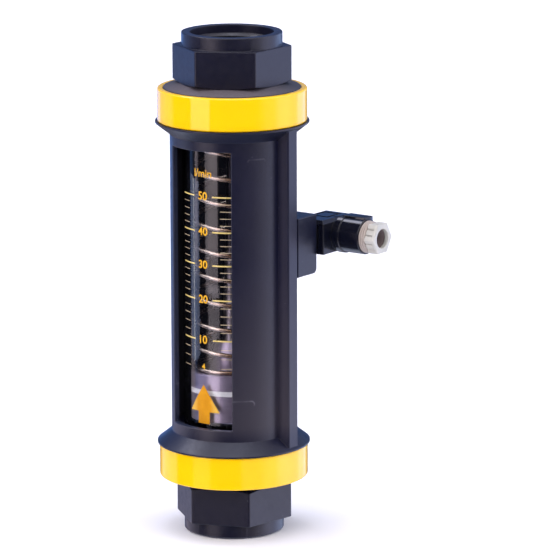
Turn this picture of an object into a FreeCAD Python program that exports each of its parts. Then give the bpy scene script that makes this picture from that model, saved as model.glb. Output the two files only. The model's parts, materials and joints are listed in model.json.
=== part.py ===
import FreeCAD, Part
import math
import os
from FreeCAD import Vector

# Spring-loaded rotameter for a G1 pipe, with an adjustable reed contact.
# Millimetres, +Z up and along the flow. The origin is the centre of the bottom face.
# The window and the scale face -Y, the rail and the contact are on the +X side.
# An azimuth a is counted from -Y towards +X: the point is (r sin a, -r cos a).

os.makedirs("parts", exist_ok=True)

# ---------------------------------------------------------------- driving dimensions
LENGTH = 200.0            # over both connectors

# pipe connector: collar, hexagon, flange, spigot
COLLAR_R = 19.85
COLLAR_H = 5.2
PORT_COUNTERBORE_R = 16.48
PORT_COUNTERBORE_H = 3.4
PORT_THREAD_R = 15.15     # crest radius of the G1 inside thread
PORT_THREAD_END = 18.4
BORE_R = 13.5
HEX_AF = 41.0
HEX_BASE = 20.05          # where the hexagon meets the flange
FLANGE_R = 27.1
FLANGE_EDGE = 21.8        # height of the flange's outer edge
SNAP_R = 26.5
SPIGOT_R = 22.15
SPIGOT_TOP = 43.6
SOCKET_R = 20.0           # the glass stands in this socket
LEDGE = 33.0              # height of the ledge under glass and spider
HEX_TURN_IN = -8.9
HEX_TURN_OUT = -1.0

# yellow rings
RING_R = 29.5
RING_BORE_R = 27.15
RING_LOW = 22.0
RING_HIGH = 35.2

# housing
RIM_R = 30.33
RIM_H = 0.6
BODY_R = 24.6
BODY_BORE_R = 22.3
CONE_TOP = 40.3
WINDOW_HALF = math.radians(34.5)
WINDOW_LOW = 44.86
WINDOW_HIGH = 155.93
RAIL_X = 29.3
RAIL_HALF = 3.15
RAIL_BEVEL = 0.5
SLOT_X = 26.7             # dovetail slot in the rail's side
SLOT_MOUTH = 0.8
SLOT_FLOOR = 1.5
SLOT_FLOOR_Y = 1.35
SLOT_LOW = 44.0
SLOT_HIGH = 156.0

# glass
GLASS_R = 19.75
GLASS_BORE_R = 17.0
GASKET_T = 1.2

# rod, spiders, float
ROD_FOOT = 45.7
ROD_R_LOW = 4.3
ROD_R_HIGH = 1.9
ROD_TAPER_LOW = 76.0
ROD_TAPER_HIGH = 157.0
ROD_SHOULDER = 158.2
STUD_R = 2.6              # thread at the rod's foot
TOP_STUD_R = 1.45
FLOAT_R = 16.6
FLOAT_LOW = 46.0
FLOAT_HIGH = 65.4
NECK_R = 8.1
NECK_BORE_R = 7.0
NECK_CONE = 72.4          # the neck's cone starts here
NECK_TOP = 76.8
ORIFICE_R = 4.6
MARK_LOW = 57.05
MARK_HIGH = 59.05

# spring
SEAT_Z = 165.0
WIRE_R = 0.875
COIL_R = 14.7
COIL_PITCH = 10.0
COIL_AZ = 36.5            # the wire passes this azimuth at COIL_Z + n * COIL_PITCH
COIL_Z = 73.1
LOW_FLAT, LOW_RAMP = 0.4, 0.8    # turns that lie flat on the float, then turns over which the pitch opens
HIGH_FLAT, HIGH_RAMP = 0.3, 0.8

# reed contact
BLOCK_Y0 = 3.45
BLOCK_Y1 = 16.0
BLOCK_Z0 = 104.2
BLOCK_Z1 = 127.8
BLOCK_SADDLE_R = 24.9     # clears the housing by 0.3
PLATE_R = 26.3
PLUG_X0, PLUG_X1 = 18.6, 32.0
PLUG_Y0, PLUG_Y1 = 16.6, 37.0
PLUG_Z0, PLUG_Z1 = 111.5, 125.0
BARREL_Y, BARREL_Z = 29.1, 118.3
BARREL_R = 7.1
BARREL_NECK_R = 7.5
BARREL_NECK_X = 35.1
BARREL_X = 44.5
GLAND_RING_R = 6.4
GLAND_RING_X = 47.2
GLAND_NUT_X = 51.7
GLAND_NUT_R = 6.75        # over the corners
GLAND_HOLE_R = 3.85


# ---------------------------------------------------------------- helpers
def rev(points):
    """Solid of revolution about Z from a closed outline of (radius, height)."""
    v = [Vector(r, 0, z) for r, z in points]
    return Part.Face(Part.makePolygon(v + [v[0]])).revolve(Vector(0, 0, 0), Vector(0, 0, 1), 360)


def rev_x(points, y, z):
    """Solid of revolution about the line along X through (y, z), outline of (x, radius)."""
    v = [Vector(x, y + r, z) for x, r in points]
    return Part.Face(Part.makePolygon(v + [v[0]])).revolve(Vector(0, y, z), Vector(1, 0, 0), 360)


def block(x0, x1, y0, y1, z0, z1):
    return Part.makeBox(x1 - x0, y1 - y0, z1 - z0, Vector(x0, y0, z0))


def cyl(r, p, d, length):
    return Part.makeCylinder(r, length, Vector(*p), Vector(*d))


def prism_z(points, z0, z1):
    v = [Vector(x, y, z0) for x, y in points]
    return Part.Face(Part.makePolygon(v + [v[0]])).extrude(Vector(0, 0, z1 - z0))


def hexagon_z(circum_r, turn, z0, z1):
    pts = []
    for k in range(6):
        a = math.radians(turn + 60 * k)
        pts.append((circum_r * math.sin(a), -circum_r * math.cos(a)))
    return prism_z(pts, z0, z1)


def fuse(first, *rest):
    out = first
    for s in rest:
        out = out.fuse(s)
    return out.removeSplitter()


def flip(shape):
    """Turns a bottom-end piece over to the top end: half a turn about X through mid-height."""
    s = shape.copy()
    s.rotate(Vector(0, 0, LENGTH / 2), Vector(1, 0, 0), 180)
    return s


def circle_edges(shape, radius, z):
    """Full circular edges about Z with that radius and height."""
    found = []
    for e in shape.Edges:
        c = e.Curve
        if isinstance(c, Part.Circle) and abs(c.Radius - radius) < 1e-4 and abs(c.Center.z - z) < 1e-4:
            found.append(e)
    return found


def save(name, shape):
    solids = shape.Solids
    if not shape.isValid():
        print("INVALID", name)
    print("%-18s solids %d  volume %.1f" % (name, len(solids), shape.Volume))
    out = solids[0] if len(solids) == 1 else Part.makeCompound(solids)
    out.exportStep("parts/%s.step" % name)
    return out


# ---------------------------------------------------------------- connectors
def connector(hex_turn):
    core = rev([
        (PORT_COUNTERBORE_R, 0), (COLLAR_R - 0.3, 0), (COLLAR_R, 0.3), (COLLAR_R, HEX_BASE - 0.1),
        (FLANGE_R - 0.25, FLANGE_EDGE - 0.1), (FLANGE_R, FLANGE_EDGE + 0.15),
        (FLANGE_R, 27.0), (SNAP_R, 27.0), (SNAP_R, 29.0), (FLANGE_R, 29.0),
        (FLANGE_R, RING_HIGH), (SPIGOT_R, RING_HIGH), (SPIGOT_R, SPIGOT_TOP - 0.3), (SPIGOT_R - 0.3, SPIGOT_TOP),
        (SOCKET_R, SPIGOT_TOP), (SOCKET_R, 40.4), (21.3, 40.4), (21.3, 38.4), (SOCKET_R, 38.4),
        (SOCKET_R, LEDGE), (BORE_R, LEDGE), (BORE_R, PORT_THREAD_END + 1.65), (PORT_THREAD_R, PORT_THREAD_END),
        (PORT_THREAD_R, PORT_COUNTERBORE_H + 0.6), (PORT_THREAD_R + 0.6, PORT_COUNTERBORE_H),
        (PORT_COUNTERBORE_R, PORT_COUNTERBORE_H),
    ])
    corner = HEX_AF / math.sqrt(3)
    nut = hexagon_z(corner, hex_turn, COLLAR_H, HEX_BASE)
    # the corners are turned off at the flange end, and lightly at the collar end
    envelope = rev([
        (0, COLLAR_H), (corner - 0.5, COLLAR_H), (corner + 0.1, COLLAR_H + 0.25),
        (corner + 0.1, HEX_BASE - 1.09), (HEX_AF / 2 - 0.15, HEX_BASE), (0, HEX_BASE),
    ])
    nut = nut.common(envelope)
    hollow = rev([(0, COLLAR_H - 1), (COLLAR_R - 1.5, COLLAR_H - 1), (COLLAR_R - 1.5, HEX_BASE + 1), (0, HEX_BASE + 1)])
    return fuse(core, nut.cut(hollow))


inlet_connector = save("inlet_connector", connector(HEX_TURN_IN))
# turning the part over about X sends azimuth a to 180 - a
outlet_connector = save("outlet_connector", flip(connector(180 - HEX_TURN_OUT)))

# ---------------------------------------------------------------- yellow rings
ring = rev([
    (RING_BORE_R + 0.25, RING_LOW), (RING_R, RING_LOW), (RING_R, RING_HIGH), (RING_BORE_R, RING_HIGH),
    (RING_BORE_R, 28.8), (26.75, 28.4), (26.75, 27.6), (RING_BORE_R, 27.2), (RING_BORE_R, RING_LOW + 0.25),
])
ring = ring.makeFillet(0.7, circle_edges(ring, RING_R, RING_LOW) + circle_edges(ring, RING_R, RING_HIGH))
save("lower_ring", ring)
save("upper_ring", flip(ring))

# ---------------------------------------------------------------- housing
top_z = LENGTH - RING_HIGH
housing = rev([
    (BODY_BORE_R, RING_HIGH), (RIM_R, RING_HIGH), (RIM_R, RING_HIGH + RIM_H),
    (BODY_R, CONE_TOP), (BODY_R, LENGTH - CONE_TOP),
    (RIM_R, top_z - RIM_H), (RIM_R, top_z), (BODY_BORE_R, top_z),
])
rail = prism_z([
    (23.2, -RAIL_HALF), (RAIL_X - RAIL_BEVEL, -RAIL_HALF), (RAIL_X, -RAIL_HALF + RAIL_BEVEL),
    (RAIL_X, RAIL_HALF - RAIL_BEVEL), (RAIL_X - RAIL_BEVEL, RAIL_HALF), (23.2, RAIL_HALF),
], RING_HIGH + 0.9, top_z - 0.9)
slot = prism_z([
    (SLOT_X - SLOT_MOUTH, RAIL_HALF + 0.5), (SLOT_X - SLOT_MOUTH, RAIL_HALF),
    (SLOT_X - SLOT_FLOOR, SLOT_FLOOR_Y), (SLOT_X + SLOT_FLOOR, SLOT_FLOOR_Y),
    (SLOT_X + SLOT_MOUTH, RAIL_HALF), (SLOT_X + SLOT_MOUTH, RAIL_HALF + 0.5),
], SLOT_LOW, SLOT_HIGH)
wx = BODY_R * math.sin(WINDOW_HALF)
window = block(-wx, wx, -40, -12, WINDOW_LOW, WINDOW_HIGH)
housing = fuse(housing, rail).cut(slot).cut(window)
edge = [e for e in housing.Edges
        if e.BoundBox.YMax < -10 and WINDOW_LOW - 0.1 < e.BoundBox.ZMin and e.BoundBox.ZMax < WINDOW_HIGH + 0.1
        and abs(math.hypot(e.valueAt(e.FirstParameter).x, e.valueAt(e.FirstParameter).y) - BODY_R) < 0.01]
housing = housing.makeFillet(0.3, edge)
save("housing", housing)

# ---------------------------------------------------------------- glass and its seals
glass_low = LEDGE + GASKET_T
glass_high = LENGTH - glass_low
save("glass_tube", rev([
    (GLASS_BORE_R, glass_low + 0.3), (GLASS_BORE_R + 0.3, glass_low), (GLASS_R - 0.3, glass_low), (GLASS_R, glass_low + 0.3),
    (GLASS_R, glass_high - 0.3), (GLASS_R - 0.3, glass_high), (GLASS_BORE_R + 0.3, glass_high), (GLASS_BORE_R, glass_high - 0.3),
]))
gasket = rev([(17.1, LEDGE), (SOCKET_R - 0.1, LEDGE), (SOCKET_R - 0.1, glass_low), (17.1, glass_low)])
save("lower_tube_gasket", gasket)
save("upper_tube_gasket", flip(gasket))
o_ring = Part.makeTorus(20.5, 0.72, Vector(0, 0, 39.4), Vector(0, 0, 1))
save("lower_o_ring", o_ring)
save("upper_o_ring", flip(o_ring))

# ---------------------------------------------------------------- spiders and rod
def ribs(width, r0, r1, z0, z1, turn):
    out = []
    for k in range(3):
        b = block(r0, r1, -width / 2, width / 2, z0, z1)
        b.rotate(Vector(0, 0, 0), Vector(0, 0, 1), turn + 120 * k)
        out.append(b)
    return out


def annulus(r_in, r_out, z0, z1):
    return rev([(r_in, z0), (r_out, z0), (r_out, z1), (r_in, z1)])


HUB_R = 6.8
STUD_HOLE_R = 2.7
TOP_HOLE_R = 1.55
support = fuse(
    annulus(14.6, 16.8, LEDGE, 38.0),
    annulus(STUD_HOLE_R, HUB_R, 30.0, ROD_FOOT),
    *ribs(2.6, HUB_R - 1.0, 15.6, LEDGE, ROD_FOOT, 30)
)
save("rod_support", support)
seat = fuse(
    annulus(12.9, 16.6, SEAT_Z, SEAT_Z + 2.0),
    annulus(14.6, 16.6, SEAT_Z, LENGTH - LEDGE),
    annulus(TOP_HOLE_R, HUB_R, ROD_SHOULDER, 168.0),
    *ribs(2.6, HUB_R - 1.0, 15.6, SEAT_Z, LENGTH - LEDGE, 90)
)
save("spring_seat", seat)
save("metering_rod", rev([
    (0, 24.4), (STUD_R - 0.3, 24.4), (STUD_R, 24.7), (STUD_R, ROD_FOOT), (ROD_R_LOW, ROD_FOOT), (ROD_R_LOW, ROD_TAPER_LOW),
    (ROD_R_HIGH, ROD_TAPER_HIGH), (ROD_R_HIGH, ROD_SHOULDER), (TOP_STUD_R, ROD_SHOULDER), (TOP_STUD_R, 171.9), (TOP_STUD_R - 0.3, 172.2), (0, 172.2),
]))


def hex_nut(af, bore, z0, z1):
    corner = af / math.sqrt(3)
    envelope = rev([(0, z0), (af / 2 - 0.1, z0), (corner + 0.05, z0 + 0.55), (corner + 0.05, z1 - 0.55), (af / 2 - 0.1, z1), (0, z1)])
    return hexagon_z(corner, 0, z0, z1).common(envelope).cut(cyl(bore, (0, 0, z0 - 1), (0, 0, 1), z1 - z0 + 2))


save("rod_nut", hex_nut(10.0, STUD_R + 0.05, 25.4, 30.0))
save("rod_end_nut", hex_nut(7.0, TOP_STUD_R + 0.05, 168.0, 171.2))

# ---------------------------------------------------------------- float
# cup with a ring pocket for the magnet; the flow passes through the middle, round the rod
save("float_body", rev([
    (10.4, FLOAT_LOW), (16.1, FLOAT_LOW), (FLOAT_R, FLOAT_LOW + 0.5),
    (FLOAT_R, MARK_LOW - 0.05), (15.8, MARK_LOW - 0.05), (15.8, MARK_HIGH + 0.05), (FLOAT_R, MARK_HIGH + 0.05),
    (FLOAT_R, FLOAT_HIGH - 0.4), (FLOAT_R - 0.4, FLOAT_HIGH), (14.9, FLOAT_HIGH),
    (14.9, 52.0), (11.0, 52.0), (11.0, 62.35), (9.6, 62.35), (9.6, 48.5), (10.4, 48.5),
]))
# the sharp-edged ring stands in the mouth of the neck, close round the rod
save("orifice_ring", rev([
    (ORIFICE_R, NECK_TOP - 0.5), (5.6, NECK_TOP - 2.1), (5.6, NECK_TOP - 0.2), (5.4, NECK_TOP), (ORIFICE_R, NECK_TOP),
]))
save("float_magnet", annulus(11.1, 14.7, 52.0, 60.5))
save("magnet_cap", rev([
    (NECK_BORE_R, 62.4), (14.8, 62.4), (14.8, FLOAT_HIGH), (NECK_R + 0.5, FLOAT_HIGH), (NECK_R, FLOAT_HIGH + 0.5),
    (NECK_R, NECK_CONE), (6.3, NECK_TOP - 0.1), (6.2, NECK_TOP), (5.65, NECK_TOP), (5.65, NECK_TOP - 2.15), (NECK_BORE_R, NECK_CONE - 0.8),
]))
save("reading_ring", rev([(15.85, MARK_LOW), (FLOAT_R - 0.02, MARK_LOW), (FLOAT_R - 0.02, MARK_HIGH), (15.85, MARK_HIGH)]))

# ---------------------------------------------------------------- spring
# left-hand coil from just above the float to just under the seat, with closed ends; each eighth of
# a turn is two circular arcs that share their tangent, so every stretch of wire is part of a torus
z_low = FLOAT_HIGH + WIRE_R + 0.04
z_high = SEAT_Z - WIRE_R - 0.04
turns = (z_high - z_low) / COIL_PITCH + LOW_FLAT + LOW_RAMP / 2 + HIGH_FLAT + HIGH_RAMP / 2
open_z = z_low - COIL_PITCH * (LOW_FLAT + LOW_RAMP / 2)      # height of the open coil's line at t = 0
coil_start = math.radians(COIL_AZ) + (COIL_Z - open_z) / COIL_PITCH * 2 * math.pi


def rise(t):
    """Height and pitch of the coil at t turns: flat, opening, open, closing, flat."""
    if t < LOW_FLAT + LOW_RAMP:
        u = max(0.0, (t - LOW_FLAT) / LOW_RAMP)
        return z_low + COIL_PITCH * LOW_RAMP * (u ** 3 - u ** 4 / 2), COIL_PITCH * (3 * u * u - 2 * u ** 3)
    if t > turns - HIGH_FLAT - HIGH_RAMP:
        u = max(0.0, (turns - HIGH_FLAT - t) / HIGH_RAMP)
        return z_high - COIL_PITCH * HIGH_RAMP * (u ** 3 - u ** 4 / 2), COIL_PITCH * (3 * u * u - 2 * u ** 3)
    return open_z + COIL_PITCH * t, COIL_PITCH


def coil_point(t):
    """Point and unit tangent of the coil's line, t in turns from the lower end."""
    a = coil_start - 2 * math.pi * t
    z, pitch = rise(t)
    point = Vector(COIL_R * math.sin(a), -COIL_R * math.cos(a), z)
    tangent = Vector(-2 * math.pi * COIL_R * math.cos(a), -2 * math.pi * COIL_R * math.sin(a), pitch)
    return point, tangent.normalize()


def wire_arc(p, t, q):
    """Torus stretch from p, leaving along t, to q."""
    chord = q - p
    normal = t.cross(chord)
    normal.normalize()
    half = t.getAngle(chord)
    radius = chord.Length / (2 * math.sin(half))
    inward = normal.cross(t)
    centre = p + inward.multiply(radius)
    disc = Part.Face(Part.Wire([Part.makeCircle(WIRE_R, p, t)]))
    return disc.revolve(centre, normal, math.degrees(2 * half))


steps = int(math.ceil(turns * 8))
pieces = []
for k in range(steps):
    p0, t0 = coil_point(turns * k / steps)
    p1, t1 = coil_point(turns * (k + 1) / steps)
    v, t = p1 - p0, t0 + t1
    qa, qb, qc = t.dot(t) - 4, -2 * v.dot(t), v.dot(v)
    d = (-qb - math.sqrt(qb * qb - 4 * qa * qc)) / (2 * qa)
    c0, c1 = p0 + t0 * d, p1 - t1 * d
    mid = (c0 + c1) * 0.5
    pieces.append(wire_arc(p0, t0, mid))
    pieces.append(wire_arc(mid, (c1 - c0).normalize(), p1))
faces = []
for k, piece in enumerate(pieces):
    for f in piece.Faces:
        if isinstance(f.Surface, Part.Toroid):
            faces.append(f)
        elif k == 0 and f.CenterOfMass.distanceToPoint(coil_point(0)[0]) < 1e-3:
            faces.append(f)
        elif k == len(pieces) - 1 and f.CenterOfMass.distanceToPoint(coil_point(turns)[0]) < 1e-3:
            faces.append(f)
shell = Part.makeCompound(faces)
shell.sewShape(1e-4)
spring = Part.Solid(shell.Shells[0] if shell.ShapeType != "Shell" else shell)
if spring.Volume < 0:
    spring.reverse()
print("spring turns %.2f, closed %s, wire volume %.1f" % (turns, spring.Shells[0].isClosed(), math.pi * WIRE_R ** 2 * turns * math.hypot(2 * math.pi * COIL_R, COIL_PITCH)))
save("spring", spring)

# ---------------------------------------------------------------- reed contact block
saddle = cyl(BLOCK_SADDLE_R, (0, 0, BLOCK_Z0 - 2), (0, 0, 1), BLOCK_Z1 - BLOCK_Z0 + 4)
outer = block(16.0, RAIL_X, BLOCK_Y0, BLOCK_Y1, BLOCK_Z0, BLOCK_Z1)
low_edge = [e for e in outer.Edges if abs(e.BoundBox.YMin - BLOCK_Y1) < 0.01 and abs(e.BoundBox.ZMax - BLOCK_Z0) < 0.01]
outer = outer.makeFillet(2.0, low_edge)
front = [e for e in outer.Edges if e.BoundBox.XMin > RAIL_X - 0.01 and not (e.BoundBox.YMax < BLOCK_Y0 + 0.01)]
outer = outer.makeFillet(0.35, front)
CAV_Z0, CAV_Z1 = 110.0, 126.3
CAV_Y0, CAV_Y1 = 4.9, 14.6
cavity = block(14.0, 27.8, CAV_Y0, CAV_Y1, CAV_Z0, CAV_Z1)
SCREW_Z = 107.2
tongue = prism_z([
    (SLOT_X - 0.6, BLOCK_Y0 + 0.3), (SLOT_X - 0.6, RAIL_HALF), (SLOT_X - 1.14, SLOT_FLOOR_Y + 0.4),
    (SLOT_X + 1.14, SLOT_FLOOR_Y + 0.4), (SLOT_X + 0.6, RAIL_HALF), (SLOT_X + 0.6, BLOCK_Y0 + 0.3),
], 110.0, BLOCK_Z1 - 0.8)
insert_hole = block(22.5, 27.7, CAV_Y1 - 1, BLOCK_Y1 + 1, 113.5, 122.6)
switch_housing = fuse(outer.cut(saddle).cut(cavity), tongue)
switch_housing = switch_housing.cut(insert_hole)
switch_housing = switch_housing.cut(cyl(1.5, (SLOT_X, 4.8, SCREW_Z), (0, 1, 0), 20)).cut(cyl(0.8, (SLOT_X, 0, SCREW_Z), (0, 1, 0), 8))
save("switch_housing", switch_housing)

plate_out = cyl(PLATE_R, (0, 0, CAV_Z0 + 0.1), (0, 0, 1), CAV_Z1 - CAV_Z0 - 0.2)
plate_in = cyl(BLOCK_SADDLE_R, (0, 0, CAV_Z0 - 1), (0, 0, 1), CAV_Z1 - CAV_Z0 + 2)
switch_back = plate_out.cut(plate_in).common(block(14.0, 27.7, CAV_Y0 + 0.1, CAV_Y1 - 0.1, CAV_Z0, CAV_Z1))
save("switch_back", switch_back)

# reed capsule with its two leads bent over to the board
RX, RY = 24.6, 12.2
reed = fuse(
    cyl(1.0, (RX, RY, 112.4), (0, 0, 1), 11.4),
    cyl(0.25, (RX, RY, 111.4), (0, 0, 1), 13.4),
    cyl(0.25, (RX - 0.2, RY, 111.65), (1, 0, 0), 1.75),
    cyl(0.25, (RX - 0.2, RY, 124.55), (1, 0, 0), 1.75),
)
save("reed_switch", reed)
save("circuit_board", block(26.2, 27.2, 5.6, 13.2, 111.0, 125.4))

pin_z = (115.4, 118.05, 120.7)
insert = block(22.7, 27.5, 13.9, 16.9, 113.7, 122.4)
for z in pin_z:
    insert = insert.cut(cyl(0.6, (25.1, 10, z), (0, 1, 0), 12))
save("socket_insert", insert)
pins = []
for z in pin_z:
    p = cyl(0.55, (25.1, 13.3, z), (0, 1, 0), 9.2)
    tip = [e for e in p.Edges if isinstance(e.Curve, Part.Circle) and e.Curve.Center.y > 22.0]
    pins.append(p.makeChamfer(0.25, tip))
save("contact_pins", Part.makeCompound(pins))

screw = fuse(cyl(1.42, (SLOT_X, 5.0, SCREW_Z), (0, 1, 0), 10.6), cyl(0.7, (SLOT_X, SLOT_FLOOR_Y + 0.1, SCREW_Z), (0, 1, 0), 4.0))
key = []
for k in range(6):
    a = math.radians(60 * k)
    key.append(Vector(SLOT_X + 0.87 * math.cos(a), 13.8, SCREW_Z + 0.87 * math.sin(a)))
screw = screw.cut(Part.Face(Part.makePolygon(key + [key[0]])).extrude(Vector(0, 3, 0)))
save("clamp_screw", screw)

# ---------------------------------------------------------------- elbow plug
save("plug_gasket", block(20.2, 28.8, BLOCK_Y1, PLUG_Y0, 112.4, 124.2).cut(block(22.5, 27.7, 15, 18, 113.5, 122.6)))

body = block(PLUG_X0, PLUG_X1, PLUG_Y0, PLUG_Y1, PLUG_Z0, PLUG_Z1)
tops = [e for e in body.Edges if e.BoundBox.ZMin > PLUG_Z1 - 0.01]
body = body.makeChamfer(1.3, tops)
sides = [e for e in body.Edges if e.BoundBox.ZMax - e.BoundBox.ZMin > 5]
body = body.makeFillet(0.5, sides)
barrel = rev_x([
    (PLUG_X1 - 3, 0), (PLUG_X1 - 3, BARREL_NECK_R - 0.6), (PLUG_X1 + 0.6, BARREL_NECK_R), (BARREL_NECK_X, BARREL_NECK_R), (BARREL_NECK_X + 0.15, BARREL_R),
    (BARREL_X - 0.3, BARREL_R), (BARREL_X, BARREL_R - 0.3), (BARREL_X, 0),
], BARREL_Y, BARREL_Z)
plug_body = fuse(body, barrel)
# framed recess on top
frame_out = block(20.4, 28.9, 24.2, 33.6, PLUG_Z1 - 0.5, PLUG_Z1 + 1)
frame_in = block(21.8, 27.5, 25.6, 32.2, PLUG_Z1 - 0.5, PLUG_Z1)
plug_body = plug_body.cut(frame_out.cut(frame_in))
# hollow for the contact carrier, its screw, and the cable way through the barrel
plug_body = plug_body.cut(block(20.6, 29.6, PLUG_Y0 - 1, 33.0, 113.2, 122.6))
plug_body = plug_body.cut(cyl(4.4, (28.0, BARREL_Y, BARREL_Z), (1, 0, 0), 20))
plug_body = plug_body.cut(cyl(5.7, (36.5, BARREL_Y, BARREL_Z), (1, 0, 0), 20))
PSX, PSZ = 22.3, 118.05
plug_body = plug_body.cut(cyl(1.3, (PSX, 30, PSZ), (0, 1, 0), 10)).cut(cyl(2.6, (PSX, 35.0, PSZ), (0, 1, 0), 5))
save("plug_body", plug_body)

carrier = block(20.8, 29.4, 17.2, 28.0, 113.4, 122.4)
for z in pin_z:
    carrier = carrier.cut(cyl(0.65, (25.1, 16, z), (0, 1, 0), 8))
carrier = carrier.cut(cyl(1.3, (PSX, 16, PSZ), (0, 1, 0), 14))
save("plug_insert", carrier)

plug_screw = fuse(cyl(1.15, (PSX, 17.4, PSZ), (0, 1, 0), 17.7), cyl(2.4, (PSX, 35.05, PSZ), (0, 1, 0), 1.5))
plug_screw = plug_screw.cut(block(PSX - 3, PSX + 3, 35.9, 37, PSZ - 0.35, PSZ + 0.35))
save("plug_screw", plug_screw)

# ---------------------------------------------------------------- cable gland
# threaded ring screwed into the barrel: three fine ridges show between barrel and nut
gx = BARREL_X + 0.05
ridge = [(36.8, 4.5), (36.8, 5.6), (gx, 5.6), (gx, GLAND_RING_R - 0.15), (gx + 0.15, GLAND_RING_R)]
x = gx + 0.75
for k in range(3):
    ridge += [(x, GLAND_RING_R - 0.05 * k), (x + 0.16, GLAND_RING_R - 0.35 - 0.05 * k), (x + 0.34, GLAND_RING_R - 0.35 - 0.05 * k), (x + 0.5, GLAND_RING_R - 0.08 - 0.05 * k)]
    x += 0.62
ridge += [(GLAND_RING_X, GLAND_RING_R - 0.3), (GLAND_RING_X, 5.3), (GLAND_RING_X + 2.6, 5.3), (GLAND_RING_X + 2.6, 4.5)]
save("gland_ring", rev_x(ridge, BARREL_Y, BARREL_Z))
save("gland_seal", rev_x([(40.0, 3.95), (40.0, 4.4), (49.6, 4.4), (49.6, 3.95)], BARREL_Y, BARREL_Z))

# six-sided pressing nut with a plain front collar, and two grooves in each flat behind it
nut_x0 = GLAND_RING_X + 0.05
pts = []
for k in range(6):
    a = math.radians(12 + 60 * k)
    for d in (-7.5, 7.5):
        b = a + math.radians(d)
        rr = GLAND_NUT_R
        pts.append(Vector(nut_x0, BARREL_Y + rr * math.cos(b), BARREL_Z + rr * math.sin(b)))
nut = Part.Face(Part.makePolygon(pts + [pts[0]])).extrude(Vector(GLAND_NUT_X - nut_x0, 0, 0))
nut_env = rev_x([
    (nut_x0, 0), (nut_x0, GLAND_NUT_R - 0.35), (nut_x0 + 0.3, GLAND_NUT_R + 0.1), (GLAND_NUT_X - 0.4, GLAND_NUT_R + 0.1),
    (GLAND_NUT_X, GLAND_NUT_R - 0.55), (GLAND_NUT_X, 0),
], BARREL_Y, BARREL_Z)
nut = nut.common(nut_env)
flat_r = GLAND_NUT_R * math.cos(math.radians(22.5))
for k in range(6):
    a0 = 12 + 60 * k
    for d in (14.0, 46.0):
        a = math.radians(a0 + d)
        rr = 6.3
        nut = nut.cut(cyl(0.42, (nut_x0 - 1, BARREL_Y + rr * math.cos(a), BARREL_Z + rr * math.sin(a)), (1, 0, 0), 1 + 3.2))
nut = nut.cut(cyl(GLAND_HOLE_R, (nut_x0 - 1, BARREL_Y, BARREL_Z), (1, 0, 0), 10))
nut = nut.cut(cyl(5.4, (nut_x0 - 1, BARREL_Y, BARREL_Z), (1, 0, 0), 1 + 2.8))
save("gland_nut", nut)
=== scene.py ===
import json
import math
import bpy
import bmesh
from mathutils import Vector, Matrix


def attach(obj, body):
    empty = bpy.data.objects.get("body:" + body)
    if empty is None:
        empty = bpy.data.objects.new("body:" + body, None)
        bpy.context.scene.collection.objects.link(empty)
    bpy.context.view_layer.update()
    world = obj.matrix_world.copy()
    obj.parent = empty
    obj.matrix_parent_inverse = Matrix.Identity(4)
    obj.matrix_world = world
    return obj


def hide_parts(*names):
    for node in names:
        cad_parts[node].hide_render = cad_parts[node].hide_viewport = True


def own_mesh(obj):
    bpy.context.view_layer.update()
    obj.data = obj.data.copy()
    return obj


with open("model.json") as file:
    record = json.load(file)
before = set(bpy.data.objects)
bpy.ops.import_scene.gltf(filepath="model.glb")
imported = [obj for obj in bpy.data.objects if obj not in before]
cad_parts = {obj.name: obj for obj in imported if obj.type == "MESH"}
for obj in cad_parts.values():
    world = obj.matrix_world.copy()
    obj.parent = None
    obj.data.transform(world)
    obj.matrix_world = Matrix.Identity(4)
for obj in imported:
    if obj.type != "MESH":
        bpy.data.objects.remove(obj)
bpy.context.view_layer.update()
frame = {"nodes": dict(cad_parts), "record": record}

# Lengths below are in millimetres, as in the CAD, and become metres when a mesh is made.
# An azimuth is counted from -Y towards +X, as in the CAD.
MM = 0.001
scene = bpy.context.scene
scene.view_settings.view_transform = "Standard"
scene.view_settings.look = "None"
scene.view_settings.exposure = 0.0
scene.view_settings.gamma = 1.0


# ---------------------------------------------------------------- camera
def lin(r, g, b):
    """sRGB 0-255 to linear."""
    out = []
    for c in (r, g, b):
        c = c / 255.0
        out.append(c / 12.92 if c <= 0.04045 else ((c + 0.055) / 1.055) ** 2.4)
    return out


cam_data = bpy.data.cameras.new("camera")
cam_data.sensor_width = 36.0
cam_data.lens = 277.67
cam_data.clip_start = 0.05
cam_data.clip_end = 50.0
camera = bpy.data.objects.new("camera", cam_data)
scene.collection.objects.link(camera)
cam_fwd = Vector((-0.57356, 0.79176, -0.21013)).normalized()
cam_right = Vector((0.81022, 0.58612, -0.00307)).normalized()
cam_up = cam_right.cross(cam_fwd).normalized()
cam_right = cam_fwd.cross(cam_up).normalized()
camera.matrix_world = Matrix((
    (cam_right.x, cam_up.x, -cam_fwd.x, 0.975527),
    (cam_right.y, cam_up.y, -cam_fwd.y, -1.318349),
    (cam_right.z, cam_up.z, -cam_fwd.z, 0.454870),
    (0, 0, 0, 1),
))
scene.camera = camera
VIEW_AZ = math.radians(36.5)      # the camera stands at this azimuth


# ---------------------------------------------------------------- mesh helpers
def polar(r, az, z):
    return Vector((r * math.sin(az), -r * math.cos(az), z))


def finish_mesh(name, bm, body="root", sharp=35.0, smooth=True, weighted=False, scale=MM):
    bmesh.ops.recalc_face_normals(bm, faces=bm.faces[:])
    if scale != 1.0:
        for v in bm.verts:
            v.co *= scale
    me = bpy.data.meshes.new(name)
    bm.to_mesh(me)
    bm.free()
    ob = bpy.data.objects.new(name, me)
    scene.collection.objects.link(ob)
    if smooth:
        me.shade_smooth()
        me.set_sharp_from_angle(angle=math.radians(sharp))
    if weighted:
        w = ob.modifiers.new("weighted", "WEIGHTED_NORMAL")
        w.keep_sharp = True
        w.weight = 90
    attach(ob, body)
    return ob


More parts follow.
